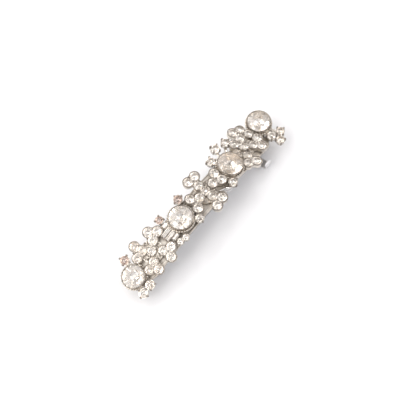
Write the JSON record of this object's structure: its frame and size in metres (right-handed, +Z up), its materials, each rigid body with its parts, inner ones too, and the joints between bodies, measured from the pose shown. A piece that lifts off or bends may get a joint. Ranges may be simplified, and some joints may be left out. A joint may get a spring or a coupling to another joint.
{
  "type": "hair clip",
  "caption": "Curved French spring hair clip covered with round rhinestone flowers, large faceted stones, baguettes and single prong-set stones on a silver-coloured strip.",
  "frame": {"origin": "centre of the flat underside of the closed clasp arm, on which the clip rests", "axes": "+X along the clip's length towards the catch, +Y across the width, +Z up through the stones"},
  "size_m": [0.0907, 0.0209, 0.0168],
  "materials": {
    "crystal_large": "faceted, foiled back",
    "crystal_baguette": "step cut, foiled back",
    "crystal_small": "faceted, foiled back",
    "casting": "polished plating, dark in the recesses",
    "setting": "polished plating, dark in the recesses",
    "leaf": "smooth polished plating",
    "strip": "satin plating",
    "spring": "satin spring steel",
    "rivet": "satin",
    "clip_steel": "satin plating"
  },
  "bodies": {
    "clip_back": {"backing_strip": "strip", "clip_plate": "clip_steel", "hinge_pin": "rivet", "bow_rivet": "rivet", "catch_base": "clip_steel", "rivet_hinge_end": "rivet", "rivet_catch_end": "rivet", "flower_left_casting": "casting", "flower_mid_casting": "casting", "flower_right_casting": "casting", "setting_end_right": "setting", "setting_mid_right": "setting", "setting_mid_left": "setting", "setting_end_left": "setting", "baguette_channel": "setting", "flower_left_centre_stone": "crystal_small", "flower_left_petal_a_stones": "crystal_small", "flower_left_petal_b_stones": "crystal_small", "flower_left_petal_c_stones": "crystal_small", "flower_left_petal_d_stones": "crystal_small", "flower_mid_centre_stone": "crystal_small", "flower_mid_petal_a_stones": "crystal_small", "flower_mid_petal_b_stones": "crystal_small", "flower_mid_petal_c_stones": "crystal_small", "flower_mid_petal_d_stones": "crystal_small", "flower_right_centre_stone": "crystal_small", "flower_right_petal_a_stones": "crystal_small", "flower_right_petal_b_stones": "crystal_small", "flower_right_petal_c_stones": "crystal_small", "flower_right_petal_d_stones": "crystal_small", "flower_right_petal_e_stones": "crystal_small", "large_stone_end_right": "crystal_large", "chaton_13": "crystal_small", "chaton_14": "crystal_small", "chaton_15": "crystal_small", "large_stone_mid_right": "crystal_large", "chaton_01": "crystal_small", "chaton_02": "crystal_small", "chaton_03": "crystal_small", "chaton_12": "crystal_small", "large_stone_mid_left": "crystal_large", "chaton_04": "crystal_small", "chaton_09": "crystal_small", "large_stone_end_left": "crystal_large", "chaton_06": "crystal_small", "chaton_07": "crystal_small", "chaton_08": "crystal_small", "chaton_05": "crystal_small", "chaton_10": "crystal_small", "chaton_11": "crystal_small", "baguette_1": "crystal_baguette", "baguette_2": "crystal_baguette", "baguette_3": "crystal_baguette", "baguette_4": "crystal_baguette", "marquise_leaf": "leaf"},
    "clasp_arm": {"clasp_arm": "clip_steel"},
    "tension_bow": {"tension_bow": "spring"},
    "catch_leg_left": {"catch_leg_left": "spring"},
    "catch_leg_right": {"catch_leg_right": "spring"}
  },
  "joints": [
    {"name": "clasp_hinge", "type": "hinge", "parent": "clip_back", "child": "clasp_arm", "pos_m": [-0.0325, 0, 0.0015], "axis": [0, 1, 0], "range_deg": [0, 75]},
    {"name": "bow_flex", "type": "hinge", "parent": "clip_back", "child": "tension_bow", "pos_m": [-0.0285, 0, 0.00295], "axis": [0, -1, 0], "range_deg": [0, 5], "stiffness_Nm_per_rad": 0.02},
    {"name": "catch_squeeze_left", "type": "hinge", "parent": "clip_back", "child": "catch_leg_left", "pos_m": [0.03, 0.00295, 0.0055], "axis": [-1, 0, 0], "range_deg": [0, 9], "stiffness_Nm_per_rad": 0.0005},
    {"name": "catch_squeeze_right", "type": "hinge", "parent": "clip_back", "child": "catch_leg_right", "pos_m": [0.03, -0.00295, 0.0055], "axis": [-1, 0, 0], "range_deg": [-9, 0], "stiffness_Nm_per_rad": 0.0005}
  ],
  "couplings": [
    {"joint": "catch_squeeze_right", "follows": "catch_squeeze_left", "ratio": -1}
  ]
}
